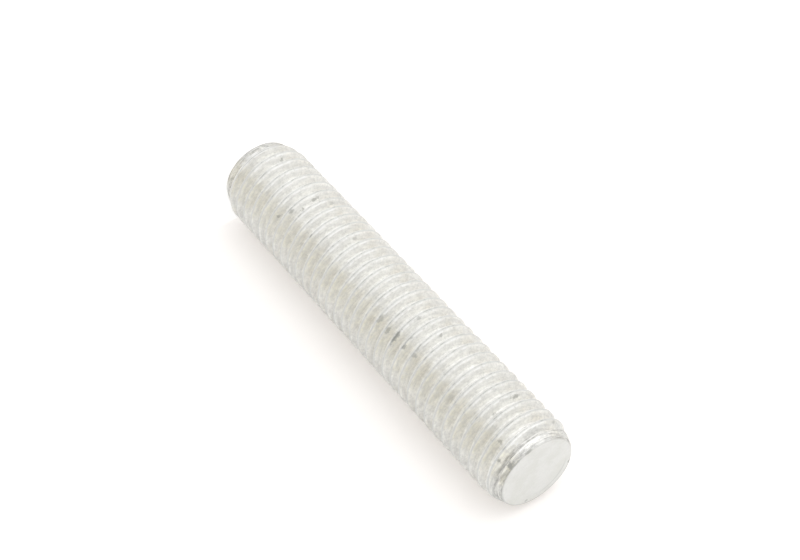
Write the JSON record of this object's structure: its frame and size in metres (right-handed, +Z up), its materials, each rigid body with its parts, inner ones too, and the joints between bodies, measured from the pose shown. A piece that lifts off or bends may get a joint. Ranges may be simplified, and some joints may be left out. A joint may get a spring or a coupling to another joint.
{
  "type": "stud bolt",
  "caption": "Short steel stud threaded from end to end with a coarse right-hand metric thread, flat chamfered ends and a pale zinc finish.",
  "frame": {"origin": "centre of the lower end face, on the stud's axis", "axes": "+Z up along the stud's axis, from the lower end face to the upper one; X and Y are square to it"},
  "size_m": [0.0118, 0.0118, 0.06],
  "materials": {
    "zinc": "pale zinc plating, satin, scuffed on the crests"
  },
  "bodies": {
    "root": {"stud": "zinc"}
  },
  "joints": []
}
